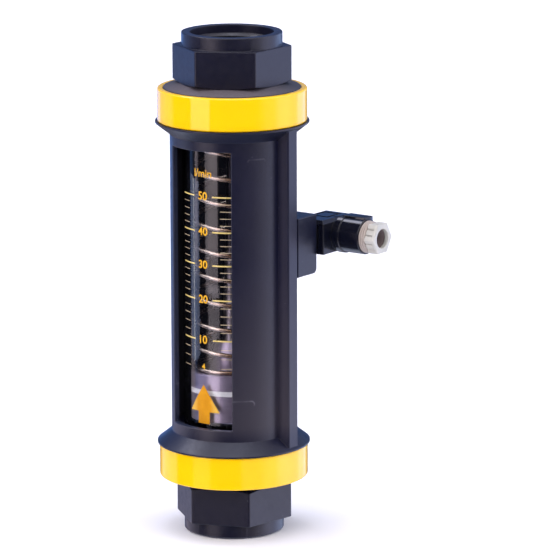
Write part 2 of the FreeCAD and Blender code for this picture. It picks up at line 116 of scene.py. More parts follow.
def rounded(points, radii, steps=5):
    """Closed outline with its corners turned into arcs. radii: one number, or one per point."""
    n = len(points)
    if not isinstance(radii, (list, tuple)):
        radii = [radii] * n
    out = []
    for i in range(n):
        p0, p1, p2 = (Vector((*points[(i + k - 1) % n], 0)) for k in range(3))
        r = radii[i]
        a, b = (p0 - p1), (p2 - p1)
        la, lb = a.length, b.length
        if r <= 0 or la < 1e-6 or lb < 1e-6:
            out.append((p1.x, p1.y))
            continue
        a.normalize()
        b.normalize()
        half = a.angle(b) / 2
        if half > math.radians(88.0):
            out.append((p1.x, p1.y))
            continue
        t = min(r / math.tan(half), 0.48 * la, 0.48 * lb)
        r = t * math.tan(half)
        centre = p1 + (a + b).normalized() * (r / math.sin(half))
        s, e = p1 + a * t - centre, p1 + b * t - centre
        turn = s.angle(e)
        cross = s.x * e.y - s.y * e.x
        for k in range(steps + 1):
            w = turn * k / steps * (1 if cross > 0 else -1)
            out.append((centre.x + s.x * math.cos(w) - s.y * math.sin(w),
                        centre.y + s.x * math.sin(w) + s.y * math.cos(w)))
    return out


def lathe(outline, seg, start=0.0):
    """Closed ring of revolution about Z from a closed outline of (radius, height)."""
    bm = bmesh.new()
    rows = []
    for k in range(seg):
        az = start + 2 * math.pi * k / seg
        rows.append([bm.verts.new(polar(r, az, z)) for r, z in outline])
    n = len(outline)
    for k in range(seg):
        a, b = rows[k], rows[(k + 1) % seg]
        for i in range(n):
            j = (i + 1) % n
            bm.faces.new((a[i], a[j], b[j], b[i]))
    return bm


# ---------------------------------------------------------------- material helpers
class Mat:
    """A Principled material with a few procedural building blocks."""

    def __init__(self, name):
        self.m = bpy.data.materials.new(name)
        self.m.use_nodes = True
        self.nt = self.m.node_tree
        self.nt.nodes.clear()
        self.out = self.node("ShaderNodeOutputMaterial")
        self.b = self.node("ShaderNodeBsdfPrincipled")
        self.link(self.b.outputs["BSDF"], self.out.inputs["Surface"])
        self.tc = self.node("ShaderNodeTexCoord")
        self.last_normal = None

    def node(self, kind):
        return self.nt.nodes.new(kind)

    def link(self, a, b):
        self.nt.links.new(a, b)

    def set(self, **kw):
        for k, v in kw.items():
            self.b.inputs[k.replace("_", " ")].default_value = v
        return self

    def coords(self, stretch=None):
        if stretch is None:
            return self.tc.outputs["Object"]
        mp = self.node("ShaderNodeMapping")
        mp.inputs["Scale"].default_value = stretch
        self.link(self.tc.outputs["Object"], mp.inputs["Vector"])
        return mp.outputs["Vector"]

    def noise(self, scale, detail=3.0, rough=0.5, stretch=None, distort=0.0):
        n = self.node("ShaderNodeTexNoise")
        n.noise_dimensions = "3D"
        n.inputs["Scale"].default_value = scale
        n.inputs["Detail"].default_value = detail
        n.inputs["Roughness"].default_value = rough
        n.inputs["Distortion"].default_value = distort
        self.link(self.coords(stretch), n.inputs["Vector"])
        return n.outputs["Fac"]

    def voronoi(self, scale, stretch=None, feature="F1", out="Distance"):
        n = self.node("ShaderNodeTexVoronoi")
        n.feature = feature
        n.inputs["Scale"].default_value = scale
        self.link(self.coords(stretch), n.inputs["Vector"])
        return n.outputs[out]

    def ramp(self, fac, stops, interp="LINEAR"):
        """stops: list of (position, (r, g, b) linear or a number)."""
        r = self.node("ShaderNodeValToRGB")
        r.color_ramp.interpolation = interp
        els = r.color_ramp.elements
        while len(els) < len(stops):
            els.new(0.5)
        for e, (p, c) in zip(els, stops):
            e.position = p
            e.color = (c, c, c, 1) if isinstance(c, (int, float)) else (*c, 1)
        self.link(fac, r.inputs["Fac"])
        return r.outputs["Color"]

    def span(self, fac, lo, hi, f0=0.0, f1=1.0):
        r = self.node("ShaderNodeMapRange")
        r.inputs["From Min"].default_value = f0
        r.inputs["From Max"].default_value = f1
        r.inputs["To Min"].default_value = lo
        r.inputs["To Max"].default_value = hi
        self.link(fac, r.inputs["Value"])
        return r.outputs["Result"]

    def mix(self, fac, a, b, kind="MIX"):
        n = self.node("ShaderNodeMix")
        n.data_type = "RGBA"
        n.blend_type = kind
        for sock, v in ((n.inputs[0], fac), (n.inputs[6], a), (n.inputs[7], b)):
            if isinstance(v, bpy.types.NodeSocket):
                self.link(v, sock)
            elif isinstance(v, (int, float)):
                sock.default_value = v if sock.type == "VALUE" else (v, v, v, 1)
            else:
                sock.default_value = (*v, 1)
        return n.outputs[2]

    def math(self, op, a, b=0.0, clamp=False):
        n = self.node("ShaderNodeMath")
        n.operation = op
        n.use_clamp = clamp
        for sock, v in ((n.inputs[0], a), (n.inputs[1], b)):
            if isinstance(v, bpy.types.NodeSocket):
                self.link(v, sock)
            else:
                sock.default_value = v
        return n.outputs[0]

    def bump(self, height, strength, distance):
        n = self.node("ShaderNodeBump")
        n.inputs["Strength"].default_value = strength
        n.inputs["Distance"].default_value = distance
        self.link(height, n.inputs["Height"])
        if self.last_normal is not None:
            self.link(self.last_normal, n.inputs["Normal"])
        self.last_normal = n.outputs["Normal"]
        self.link(self.last_normal, self.b.inputs["Normal"])
        return self

    def colour(self, sock):
        self.link(sock, self.b.inputs["Base Color"])
        return self

    def round_edges(self, radius, samples=4):
        """Small edge radius in the shading, in metres; comes before any bump."""
        n = self.node("ShaderNodeBevel")
        n.samples = samples
        n.inputs["Radius"].default_value = radius
        self.last_normal = n.outputs["Normal"]
        self.link(self.last_normal, self.b.inputs["Normal"])
        return self

    def xyz(self):
        n = self.node("ShaderNodeSeparateXYZ")
        self.link(self.tc.outputs["Object"], n.inputs[0])
        return n.outputs

    def axis_distance(self):
        """Distance from the object's axis, in metres."""
        x, y, _ = self.xyz()
        return self.math("SQRT", self.math("ADD", self.math("MULTIPLY", x, x), self.math("MULTIPLY", y, y)))

    def between(self, v, lo, hi, soft):
        """1 where v is between lo and hi, fading over soft."""
        return self.math("MULTIPLY", self.span(v, 0.0, 1.0, lo - soft, lo), self.span(v, 1.0, 0.0, hi, hi + soft))

    def rough(self, sock):
        self.link(sock, self.b.inputs["Roughness"])
        return self


# ---------------------------------------------------------------- materials
def moulded(name, dark, light, speck, rough_lo, rough_hi, grain=2400.0, grain_depth=0.000035, grain_strength=0.45, ior=1.5,
            edge=0.00035, bore=None, face=None, cut_painted_light=None, low_painted_light=None, pale_outlines=()):
    """Moulded plastic with an eroded-steel grain, faint blotches and pale handling specks.
    bore: radius in metres inside which the finish is matt and a dark colour is painted in as shade. face: (colour,
    roughness) of the turned flange faces, whose pale colour is partly painted highlight."""
    m = Mat(name)
    if edge:
        m.round_edges(edge)
    broad = m.noise(55.0, 3.0, 0.55)
    fine = m.noise(grain * 0.9, 2.0, 0.6)
    c = m.ramp(broad, [(0.3, dark), (0.72, light)])
    c = m.mix(m.span(fine, 0.0, 0.55, 0.35, 0.8), c, speck)
    # sparse pale specks, as on a part that has been handled
    dots = m.span(m.voronoi(420.0), 1.0, 0.0, 0.05, 0.11)
    rare = m.span(m.noise(160.0, 2.0, 0.5), 0.0, 1.0, 0.60, 0.68)
    c = m.mix(m.math("MULTIPLY", m.math("MULTIPLY", dots, rare), 0.5), c, (0.12, 0.12, 0.15))
    r = m.span(m.noise(420.0, 3.0, 0.6), rough_lo, rough_hi, 0.3, 0.7)
    if bore:
        inside = m.span(m.axis_distance(), 1.0, 0.0, bore - 0.0001, bore + 0.0001)
        r = m.math("ADD", m.math("MULTIPLY", r, m.math("SUBTRACT", 1.0, inside)), m.math("MULTIPLY", inside, 0.95))
        # painted shade: inside the bore the colour is set dark, as the shade inside the housing
        c = m.mix(inside, c, (0.009, 0.009, 0.017))
    if face:
        _, _, z = m.xyz()
        height = m.math("ABSOLUTE", m.math("SUBTRACT", z, 0.100))
        on = m.math("MULTIPLY", m.between(height, 0.07815, 0.07990, 0.00006), m.between(m.axis_distance(), 0.0202, 0.0268, 0.00010))
        # the turned face's pale grey is partly its finish and partly painted highlight
        turned = m.ramp(m.noise(900.0, 3.0, 0.6, stretch=(1.0, 1.0, 0.2)), [(0.3, tuple(v * 0.85 for v in face[0])), (0.7, tuple(v * 1.15 for v in face[0]))])
        # painted highlight and shade: the turned face keeps its pale colour only in a wedge facing 22 degrees from -Y
        # towards +X, and is painted dark and bluish on either side
        x, y, _ = m.xyz()
        along = m.math("ADD", m.math("MULTIPLY", x, math.sin(math.radians(22.0))), m.math("MULTIPLY", y, -math.cos(math.radians(22.0))))
        painted_highlight_wedge = m.span(m.math("DIVIDE", along, m.axis_distance()), 0.0, 1.0, -0.05, 0.80)
        turned = m.mix(painted_highlight_wedge, (0.030, 0.033, 0.050), turned)
        # painted light: the ledge at the end of the thread is painted paler, as lit from above
        ledge_painted_light = m.math("MULTIPLY", m.between(height, 0.08125, 0.08175, 0.0001), m.between(m.axis_distance(), 0.0134, 0.0154, 0.0001))
        c = m.mix(ledge_painted_light, c, (0.022, 0.025, 0.036))
        c = m.mix(on, c, turned)
        r = m.math("ADD", m.math("MULTIPLY", r, m.math("SUBTRACT", 1.0, on)), m.math("MULTIPLY", on, face[1]))
    if cut_painted_light:
        # painted light: the window's cut faces are painted a pale blue, as lit by the bluish light from the left
        _, _, z = m.xyz()
        on = m.math("MULTIPLY", m.between(m.axis_distance(), 0.02238, 0.02448, 0.00006), m.between(z, 0.040, 0.158, 0.001))
        c = m.mix(on, c, cut_painted_light)
    if low_painted_light:
        # painted light: paler towards the lower end, as light reflected up from the table
        _, _, z = m.xyz()
        on = m.math("MULTIPLY", m.math("MULTIPLY", m.span(z, 1.0, 0.0, 0.052, 0.112), m.span(z, 0.0, 1.0, 0.040, 0.046)), m.span(m.axis_distance(), 0.0, 1.0, 0.0243, 0.0245))
        c = m.mix(on, c, low_painted_light)
    for az, z0, half_w, half_h, open_low, strength in pale_outlines:
        # pale outline of a rounded mark on the surface
        x, y, z = m.xyz()
        u = m.math("ABSOLUTE", m.math("MULTIPLY", m.math("SUBTRACT", m.math("ARCTAN2", x, m.math("MULTIPLY", y, -1.0)), math.radians(az)), 0.0246))
        v = m.math("SUBTRACT", z, z0)
        du = m.math("MAXIMUM", m.math("SUBTRACT", u, half_w - half_h), 0.0)
        dv = m.math("ABSOLUTE", v)
        d = m.math("SQRT", m.math("ADD", m.math("MULTIPLY", du, du), m.math("MULTIPLY", dv, dv)))
        line = m.between(d, half_h - 0.00016, half_h + 0.00016, 0.00022)
        if open_low:
            line = m.math("MULTIPLY", line, m.span(v, 0.0, 1.0, -half_h * 0.7, half_h * 0.2))
        line = m.math("MULTIPLY", line, m.span(m.noise(260.0, 2.0, 0.6), 0.25, 1.0, 0.35, 0.65))
        c = m.mix(m.math("MULTIPLY", line, strength), c, (0.10, 0.095, 0.12))
    m.colour(c)
    m.rough(r)
    m.bump(m.noise(grain, 2.5, 0.6), grain_strength, grain_depth)
    m.bump(m.noise(70.0, 2.0, 0.5), 0.25, 0.00025)
    m.set(IOR=ior)
    return m.m


def make_materials():
    M = {}
    M["housing_plastic"] = moulded("housing_plastic", (0.0020, 0.0026, 0.0165), (0.0032, 0.0038, 0.0215), (0.0085, 0.0090, 0.0310), 0.32, 0.42, bore=0.0224,
                                   cut_painted_light=(0.020, 0.026, 0.055), low_painted_light=(0.026, 0.023, 0.036), pale_outlines=((44.9, 0.0555, 0.0047, 0.0013, True, 0.8), (59.0, 0.1523, 0.0036, 0.0007, True, 0.35)))
    M["connector_plastic"] = moulded("connector_plastic", (0.0024, 0.0028, 0.0130), (0.0036, 0.0040, 0.0175), (0.0090, 0.0092, 0.0260), 0.30, 0.40, edge=0.00045, face=((0.098, 0.083, 0.098), 0.75))
    M["switch_plastic"] = moulded("switch_plastic", (0.0030, 0.0040, 0.0150), (0.0045, 0.0060, 0.0200), (0.010, 0.012, 0.030), 0.28, 0.38, grain_strength=0.3, edge=0.0003)

    m = Mat("ring_yellow")
    c = m.ramp(m.noise(60.0, 3.0, 0.5), [(0.3, (0.95, 0.560, 0.0010)), (0.7, (0.985, 0.592, 0.0014))])
    c = m.mix(m.span(m.noise(1500.0, 2.0, 0.6), 0.0, 0.12, 0.45, 0.85), c, (0.90, 0.51, 0.0008))
    m.colour(c)
    m.rough(m.span(m.noise(260.0, 3.0, 0.6), 0.06, 0.10, 0.3, 0.7))
    m.bump(m.noise(900.0, 2.0, 0.5), 0.05, 0.00001)
    m.bump(m.noise(90.0, 2.0, 0.5), 0.08, 0.00010)
    m.set(IOR=1.5)
    M["ring_yellow"] = m.m

    m = Mat("tube_glass")
    c = m.ramp(m.noise(40.0, 2.0, 0.5), [(0.0, (0.965, 0.985, 0.99)), (1.0, (0.985, 0.995, 1.0))])
    m.colour(c)
    m.rough(m.span(m.noise(30.0, 3.0, 0.5), 0.0, 0.015, 0.45, 0.75))
    m.bump(m.noise(45.0, 1.0, 0.5, stretch=(1.0, 1.0, 0.05)), 0.02, 0.00010)
    m.set(IOR=1.47, Transmission_Weight=1.0)
    M["tube_glass"] = m.m

    m = Mat("seal_rubber")
    m.colour(m.ramp(m.noise(600.0, 3.0, 0.6), [(0.3, (0.010, 0.010, 0.011)), (0.7, (0.022, 0.022, 0.024))]))
    m.rough(m.span(m.noise(300.0, 2.0, 0.5), 0.6, 0.8, 0.3, 0.7))
    m.bump(m.noise(1800.0, 2.0, 0.6), 0.4, 0.00003)
    M["seal_rubber"] = m.m

    m = Mat("dark_plastic")
    m.colour(m.ramp(m.noise(120.0, 3.0, 0.6), [(0.3, (0.006, 0.006, 0.012)), (0.7, (0.014, 0.013, 0.020))]))
    m.rough(m.span(m.noise(200.0, 2.0, 0.5), 0.30, 0.45, 0.3, 0.7))
    m.bump(m.noise(700.0, 2.0, 0.5, stretch=(1.0, 1.0, 4.0)), 0.2, 0.00002)
    M["dark_plastic"] = m.m

    def metal(name, lo, hi, rlo, rhi, stretch, scale=900.0, depth=0.00001):
        m = Mat(name)
        n = m.noise(scale, 3.0, 0.6, stretch=stretch)
        m.colour(m.ramp(n, [(0.3, lo), (0.7, hi)]))
        m.rough(m.span(n, rlo, rhi, 0.3, 0.7))
        m.bump(n, 0.25, depth)
        m.set(Metallic=1.0)
        return m.m

    M["steel"] = metal("steel", (0.50, 0.50, 0.50), (0.66, 0.66, 0.66), 0.20, 0.36, (1.0, 1.0, 6.0))
    m = Mat("rod_steel")
    n = m.noise(900.0, 3.0, 0.6, stretch=(1.0, 1.0, 0.1))
    _, _, z = m.xyz()
    # painted shade: the rod fades to near black between 92 and 122 mm height
    rod_top_painted_shade = m.span(z, 0.0, 1.0, 0.092, 0.122)
    m.colour(m.mix(rod_top_painted_shade, m.ramp(n, [(0.3, (0.21, 0.19, 0.21)), (0.7, (0.27, 0.245, 0.27))]), m.ramp(n, [(0.3, (0.012, 0.011, 0.014)), (0.7, (0.020, 0.018, 0.022))])))
    m.rough(m.span(n, 0.28, 0.38, 0.3, 0.7))
    m.bump(n, 0.2, 0.00001)
    m.set(Metallic=1.0)
    M["rod_steel"] = m.m
    m = Mat("spring_steel")
    n = m.noise(500.0, 3.0, 0.6, stretch=(1.0, 1.0, 8.0))
    x, _, _ = m.xyz()
    # painted shade: the wire turns darker and browner towards +X, away from the light on the left
    spring_painted_shade = m.span(x, 0.0, 1.0, 0.0010, 0.0078)
    m.colour(m.mix(spring_painted_shade, m.ramp(n, [(0.3, (0.55, 0.44, 0.38)), (0.7, (0.74, 0.62, 0.55))]), m.ramp(n, [(0.3, (0.17, 0.095, 0.060)), (0.7, (0.30, 0.18, 0.12))])))
    m.rough(m.span(n, 0.18, 0.30, 0.3, 0.7))
    m.bump(n, 0.25, 0.00001)
    m.set(Metallic=1.0)
    M["spring_steel"] = m.m
    M["magnet"] = metal("magnet", (0.09, 0.09, 0.10), (0.16, 0.16, 0.17), 0.40, 0.60, (1.0, 1.0, 1.0), 1500.0)
    M["pin_brass"] = metal("pin_brass", (0.70, 0.50, 0.20), (0.86, 0.66, 0.30), 0.16, 0.30, (1.0, 5.0, 1.0))

    def plain(name, lo, hi, rlo, rhi, grain=1400.0, strength=0.25, broad=120.0, edge=0.0):
        m = Mat(name)
        if edge:
            m.round_edges(edge)
        c = m.ramp(m.noise(broad, 3.0, 0.6), [(0.3, lo), (0.7, hi)])
        m.colour(c)
        m.rough(m.span(m.noise(350.0, 2.0, 0.5), rlo, rhi, 0.3, 0.7))
        m.bump(m.noise(grain, 2.0, 0.6), strength, 0.00002)
        return m.m

    M["float_grey"] = metal("float_grey", (0.33, 0.28, 0.375), (0.39, 0.335, 0.44), 0.36, 0.46, (1.0, 1.0, 14.0), 300.0, 0.000004)
    M["mark_white"] = plain("mark_white", lin(236, 235, 240), lin(250, 249, 252), 0.35, 0.5)
    M["gland_white"] = plain("gland_white", (0.48, 0.475, 0.43), (0.55, 0.54, 0.495), 0.30, 0.42, 1200.0, 0.25, 160.0, edge=0.00015)
    M["gland_tan"] = plain("gland_tan", (0.38, 0.325, 0.285), (0.46, 0.40, 0.355), 0.34, 0.46, 1200.0, 0.25, 160.0, edge=0.00012)
    M["gland_rubber"] = plain("gland_rubber", (0.24, 0.185, 0.18), (0.30, 0.235, 0.23), 0.55, 0.7, 900.0, 0.4, 300.0)
    M["board_green"] = plain("board_green", (0.010, 0.085, 0.035), (0.020, 0.120, 0.050), 0.3, 0.5)

    m = Mat("plug_gloss")
    m.round_edges(0.0003)
    m.colour(m.ramp(m.noise(90.0, 3.0, 0.6), [(0.3, (0.0030, 0.0036, 0.0085)), (0.7, (0.0045, 0.0052, 0.0120))]))
    m.rough(m.span(m.noise(350.0, 3.0, 0.6), 0.12, 0.20, 0.3, 0.7))
    m.bump(m.noise(1300.0, 2.0, 0.5), 0.04, 0.00001)
    m.bump(m.noise(120.0, 2.0, 0.5), 0.06, 0.00008)
    m.set(IOR=1.5)
    M["plug_gloss"] = m.m

    m = Mat("reed_glass")
    m.colour(m.ramp(m.noise(200.0, 2.0, 0.5), [(0.0, (0.55, 0.75, 0.60)), (1.0, (0.65, 0.85, 0.70))]))
    m.rough(m.span(m.noise(200.0, 2.0, 0.5), 0.02, 0.08, 0.3, 0.7))
    m.set(IOR=1.5, Transmission_Weight=1.0)
    M["reed_glass"] = m.m

    m = Mat("print_gold")
    m.colour(m.ramp(m.noise(500.0, 3.0, 0.6), [(0.3, lin(206, 150, 26)), (0.7, lin(230, 176, 46))]))
    m.rough(m.span(m.noise(600.0, 2.0, 0.5), 0.35, 0.5, 0.3, 0.7))
    m.bump(m.noise(1800.0, 2.0, 0.6), 0.2, 0.00001)
    m.b.inputs["Specular IOR Level"].default_value = 0.12
    M["print_gold"] = m.m

    m = Mat("print_pale")
    m.colour(m.ramp(m.noise(500.0, 3.0, 0.6), [(0.3, lin(214, 190, 104)), (0.7, lin(236, 214, 136))]))
    m.rough(m.span(m.noise(600.0, 2.0, 0.5), 0.35, 0.5, 0.3, 0.7))
    m.bump(m.noise(1800.0, 2.0, 0.6), 0.2, 0.00001)
    M["print_pale"] = m.m

    m = Mat("print_thin")
    m.colour(m.ramp(m.noise(500.0, 3.0, 0.6), [(0.3, lin(182, 164, 132)), (0.7, lin(204, 186, 152))]))
    m.rough(m.span(m.noise(600.0, 2.0, 0.5), 0.35, 0.5, 0.3, 0.7))
    m.bump(m.noise(1800.0, 2.0, 0.6), 0.2, 0.00001)
    M["print_thin"] = m.m

    m = Mat("print_arrow")
    c = m.ramp(m.noise(300.0, 3.0, 0.6), [(0.3, lin(200, 134, 10)), (0.7, lin(214, 148, 18))])
    x, _, _ = m.xyz()
    # the arrow is paler towards its sides
    pale_sides = m.span(m.math("ADD", m.math("ABSOLUTE", x), m.span(m.noise(500.0, 2.0, 0.5), -0.0006, 0.0006)), 0.0, 0.75, 0.0028, 0.0052)
    m.colour(m.mix(pale_sides, c, lin(224, 186, 84)))
    m.rough(m.span(m.noise(600.0, 2.0, 0.5), 0.35, 0.5, 0.3, 0.7))
    m.bump(m.noise(1800.0, 2.0, 0.6), 0.2, 0.00001)
    m.b.inputs["Specular IOR Level"].default_value = 0.12
    M["print_arrow"] = m.m
    return M


M = make_materials()
slot_of = {m["slot"]: m for m in frame["record"]["materials"]}
SPECIAL = {"metering_rod": "rod_steel", "gland_seal": "gland_rubber"}
for name, ob in frame["nodes"].items():
    for s in ob.material_slots:
        key = SPECIAL.get(name, s.material.name.split(".")[0] if s.material else "")
        if key in M:
            s.material = M[key]
        else:
            print("no material for", name, key)

# ---------------------------------------------------------------- pipe connectors
def make_connector(name, node, hex_turn, flip):
    """Collar, hexagon, flange and spigot on the CAD outline, with rounded hexagon corners and the inside pipe thread."""
    flat, corner = 20.5, 0.9
    centre = (flat - corner) / math.cos(math.radians(30))
    psi_t = math.degrees(math.atan2(centre * 0.5, flat))
    psis = [-psi_t + 2 * psi_t * k / 14 for k in range(14)]
    for k in range(8):
        w = math.radians(60.0) * k / 8                 # along the corner's arc
        x = centre * math.cos(math.radians(30)) + corner * math.cos(w)
        y = centre * 0.5 + corner * math.sin(w)
        psis.append(math.degrees(math.atan2(y, x)))
    cols = []                                          # (azimuth, radius of the hexagon there)
    for side in range(6):
        for psi in psis:
            a = abs((psi + 30.0) % 60.0 - 30.0) if psi <= 30 else abs(60.0 - psi)
            if a <= psi_t + 1e-6:
                r = flat / math.cos(math.radians(a))
            else:
                d = math.radians(30.0 - a)
                r = centre * math.cos(d) + math.sqrt(corner ** 2 - (centre * math.sin(d)) ** 2)
            cols.append((math.radians(hex_turn + side * 60.0 + psi), r))
    n = len(cols)
    rows = []

    def row(r, z):
        rows.append([(r, z)] * n)

    for r, z in ((16.74, 0.0), (19.42, 0.0), (19.68, 0.07), (19.80, 0.20), (19.85, 0.43), (19.85, 5.02), (19.90, 5.15), (20.02, 5.20)):
        row(r, z)
    rows.append([(r - 0.36, 5.20) for _, r in cols])
    rows.append([(r - 0.10, 5.28) for _, r in cols])
    rows.append([(r, 5.54) for _, r in cols])
    top = [20.05 - 1.09 * (23.77 - 20.35) ** -1 * (r - 20.35) for _, r in cols]
    rows.append([(r, z - 0.12) for (_, r), z in zip(cols, top)])
    rows.append([(r - 0.16, z + 0.02) for (_, r), z in zip(cols, top)])
    row(20.36, 20.05)
    for r, z in ((20.60, 20.12), (21.0, 20.24), (26.45, 21.60), (26.80, 21.70), (27.02, 21.86), (27.10, 22.10), (27.10, 26.9), (27.0, 27.0),
                 (26.5, 27.0), (26.5, 29.0), (27.0, 29.0), (27.1, 29.1), (27.1, 35.0), (26.9, 35.2), (22.15, 35.2), (22.15, 43.25),
                 (22.05, 43.5), (21.8, 43.6), (20.15, 43.6), (20.0, 43.45), (20.0, 40.4), (21.3, 40.4), (21.3, 38.4), (20.0, 38.4),
                 (20.0, 33.0), (13.6, 33.0), (13.5, 32.9), (13.5, 20.15), (13.55, 20.0)):
        row(r, z)
    # inside thread, from its inner end outwards
    pitch, depth, crest = 2.309, 1.40, 15.15
    z0, z1 = 4.0, 18.4
    steps = 92
    for k in range(steps + 1):
        z = z1 + (z0 - z1) * k / steps
        ring = []
        for az, _ in cols:
            u = (z / pitch - az / (2 * math.pi)) % 1.0
            tri = 1.0 - abs(2.0 * u - 1.0)
            g = 0.55 * tri + 0.45 * (0.5 - 0.5 * math.cos(2 * math.pi * u))
            fade = min(1.0, max(0.0, (z1 - 0.2 - z) / 2.2))
            r = crest + depth * g * fade
            ring.append((max(r, crest + max(0.0, 4.6 - z) * 0.9), z))
        rows.append(ring)
    for r, z in ((16.30, 3.42), (16.40, 3.40), (16.48, 3.30), (16.48, 0.35), (16.53, 0.14)):
        row(r, z)

    bm = bmesh.new()
    grid = []
    for ring in rows:
        line = []
        for (az, _), (r, z) in zip(cols, ring):
            p = polar(r, az, z)
            if flip:
                p = Vector((p.x, -p.y, 200.0 - p.z))
            line.append(bm.verts.new(p))
        grid.append(line)
    m_ = len(grid)
    for i in range(m_):
        a, b = grid[i], grid[(i + 1) % m_]
        for k in range(n):
            bm.faces.new((a[k], a[(k + 1) % n], b[(k + 1) % n], b[k]))
    ob = finish_mesh(name, bm, "root", sharp=32.0, weighted=True)
    ob.data.materials.append(M["connector_plastic"])
    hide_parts(node)
    return ob


make_connector("inlet_connector_threaded", "inlet_connector", 21.1, False)
make_connector("outlet_connector_threaded", "outlet_connector", 211.0, True)

# ---------------------------------------------------------------- gland nut and plug details
GLAND_Y, GLAND_Z = 29.1, 118.3


def finish_along_x(name, bm, rows, body, node=None, material=None, sharp=35.0):
    """rows: rings of (x, angle from +Y, radius) round the gland's line; closed into a ring of faces."""
    grid = []
    for ring in rows:
        grid.append([bm.verts.new((x, GLAND_Y + r * math.cos(a), GLAND_Z + r * math.sin(a))) for x, a, r in ring])
    n = len(grid[0])
    for i in range(len(grid)):
        a, b = grid[i], grid[(i + 1) % len(grid)]
        for k in range(n):
            bm.faces.new((a[k], a[(k + 1) % n], b[(k + 1) % n], b[k]))
    ob = finish_mesh(name, bm, body, sharp=sharp, weighted=True)
    ob.data.materials.append(M[material])
    if node:
        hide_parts(node)
    return ob


def make_gland_nut():
    """Six-sided pressing nut: rounded corners, two short grooves in each flat behind a plain front collar."""
    apothem, corner, x0, x1 = 5.86, 0.7, 47.25, 51.7
    centre = (apothem - corner) / math.cos(math.radians(30))
    psi_t = math.degrees(math.atan2(centre * 0.5, apothem))
    seg = 312
    angles, hexes, notches = [], [], []
    for k in range(seg):
        deg = 360.0 * k / seg
        a = abs((deg - 30.0 + 30.0) % 60.0 - 30.0)      # from the middle of the flat; corners at 0, 60, ...
        if a <= psi_t:
            r = apothem / math.cos(math.radians(a))
        else:
            d = math.radians(30.0 - a)
            r = centre * math.cos(d) + math.sqrt(max(0.0, corner ** 2 - (centre * math.sin(d)) ** 2))
        angles.append(math.radians(deg))
        hexes.append(r)
        near = abs(a - 13.0)
        notches.append(0.62 * (0.5 + 0.5 * math.cos(math.pi * near / 5.0)) if near < 5.0 else 0.0)
    rows = []

    def ring(x, radius):
        rows.append([(x, a, radius(h, g) if callable(radius) else radius) for a, h, g in zip(angles, hexes, notches)])

    ring(x0, 5.45)
    ring(x0, lambda h, g: h - 0.35 - g)
    ring(x0 + 0.10, lambda h, g: h - 0.12 - g)
    ring(x0 + 0.30, lambda h, g: h - g)
    for k in range(1, 9):
        w = min(1.0, max(0.0, (3.35 - 3.0 * k / 8) / 0.5))
        ring(x0 + 0.30 + 3.0 * k / 8, lambda h, g, w=w: h - g * w)
    ring(x0 + 3.42, lambda h, g: h)
    ring(x1 - 0.55, lambda h, g: h)
    ring(x1 - 0.28, lambda h, g: h - 0.07)
    ring(x1 - 0.09, lambda h, g: h - 0.24)
    ring(x1, lambda h, g: h - 0.50)
    ring(x1, 4.15)
    ring(x1 - 0.08, 3.94)
    ring(x1 - 0.26, 3.85)
    ring(x0 + 2.8, 3.85)
    ring(x0 + 2.8, 5.45)
    return finish_along_x("gland_nut_hex", bmesh.new(), rows, "switch", "gland_nut", "gland_white", 30.0)


make_gland_nut()


def make_gland_ring():
    """Threaded ring between barrel and nut: a shoulder and two deep ridges show."""
    rows = []
    for x, r in ((36.8, 4.5), (36.8, 5.6), (44.55, 5.6), (44.55, 6.24), (44.60, 6.36), (44.70, 6.40), (44.98, 6.40), (45.08, 6.34), (45.22, 5.88),
                 (45.36, 5.88), (45.50, 6.28), (45.62, 6.34), (45.90, 6.34), (46.02, 6.28), (46.16, 5.84), (46.30, 5.84), (46.44, 6.22),
                 (46.56, 6.28), (46.84, 6.28), (46.94, 6.20), (47.08, 5.80), (47.20, 5.80), (47.20, 5.3), (49.8, 5.3), (49.8, 4.5)):
        rows.append([(x, 2 * math.pi * k / 120, r) for k in range(120)])
    return finish_along_x("gland_ring_ridged", bmesh.new(), rows, "switch", "gland_ring", "gland_tan", 50.0)


make_gland_ring()


def make_barrel_rib():
    """Low raised rib along the top of the plug's barrel."""
    x0, x1, half, top = 34.0, 44.3, 2.9, 126.05
    section = rounded([(-half, 122.6), (half, 122.6), (half, top - 0.15), (half - 0.6, top), (-half + 0.6, top), (-half, top - 0.15)], [0.0, 0.0, 0.25, 0.25, 0.25, 0.25], 4)
    bm = bmesh.new()
    lines = []
    for x, shrink in ((x0, 0.0), (x1 - 0.25, 0.0), (x1 - 0.07, 0.08), (x1, 0.25)):
        lines.append([bm.verts.new((x, GLAND_Y + 1.2 + y * (1 - shrink / half), z - (shrink if z > 124 else 0.0))) for y, z in section])
    n = len(section)
    for a, b in zip(lines, lines[1:]):
        for k in range(n):
            bm.faces.new((a[k], a[(k + 1) % n], b[(k + 1) % n], b[k]))
    bm.faces.new(lines[0])
    bm.faces.new(lines[-1])
    ob = finish_mesh("barrel_rib", bm, "switch", sharp=30.0)
    ob.data.materials.append(M["plug_gloss"])
    return ob


make_barrel_rib()

# ---------------------------------------------------------------- glass tube
GLASS_R, GLASS_BORE, GLASS_LOW, GLASS_HIGH = 19.75, 17.0, 34.2, 165.8
outline = rounded([(GLASS_BORE, GLASS_LOW), (GLASS_R, GLASS_LOW), (GLASS_R, GLASS_HIGH), (GLASS_BORE, GLASS_HIGH)], 0.5, 6)
glass = finish_mesh("glass_tube_drawn", lathe(outline, 256), "root", sharp=60.0)
glass.data.materials.append(M["tube_glass"])
glass.visible_shadow = False
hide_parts("glass_tube")


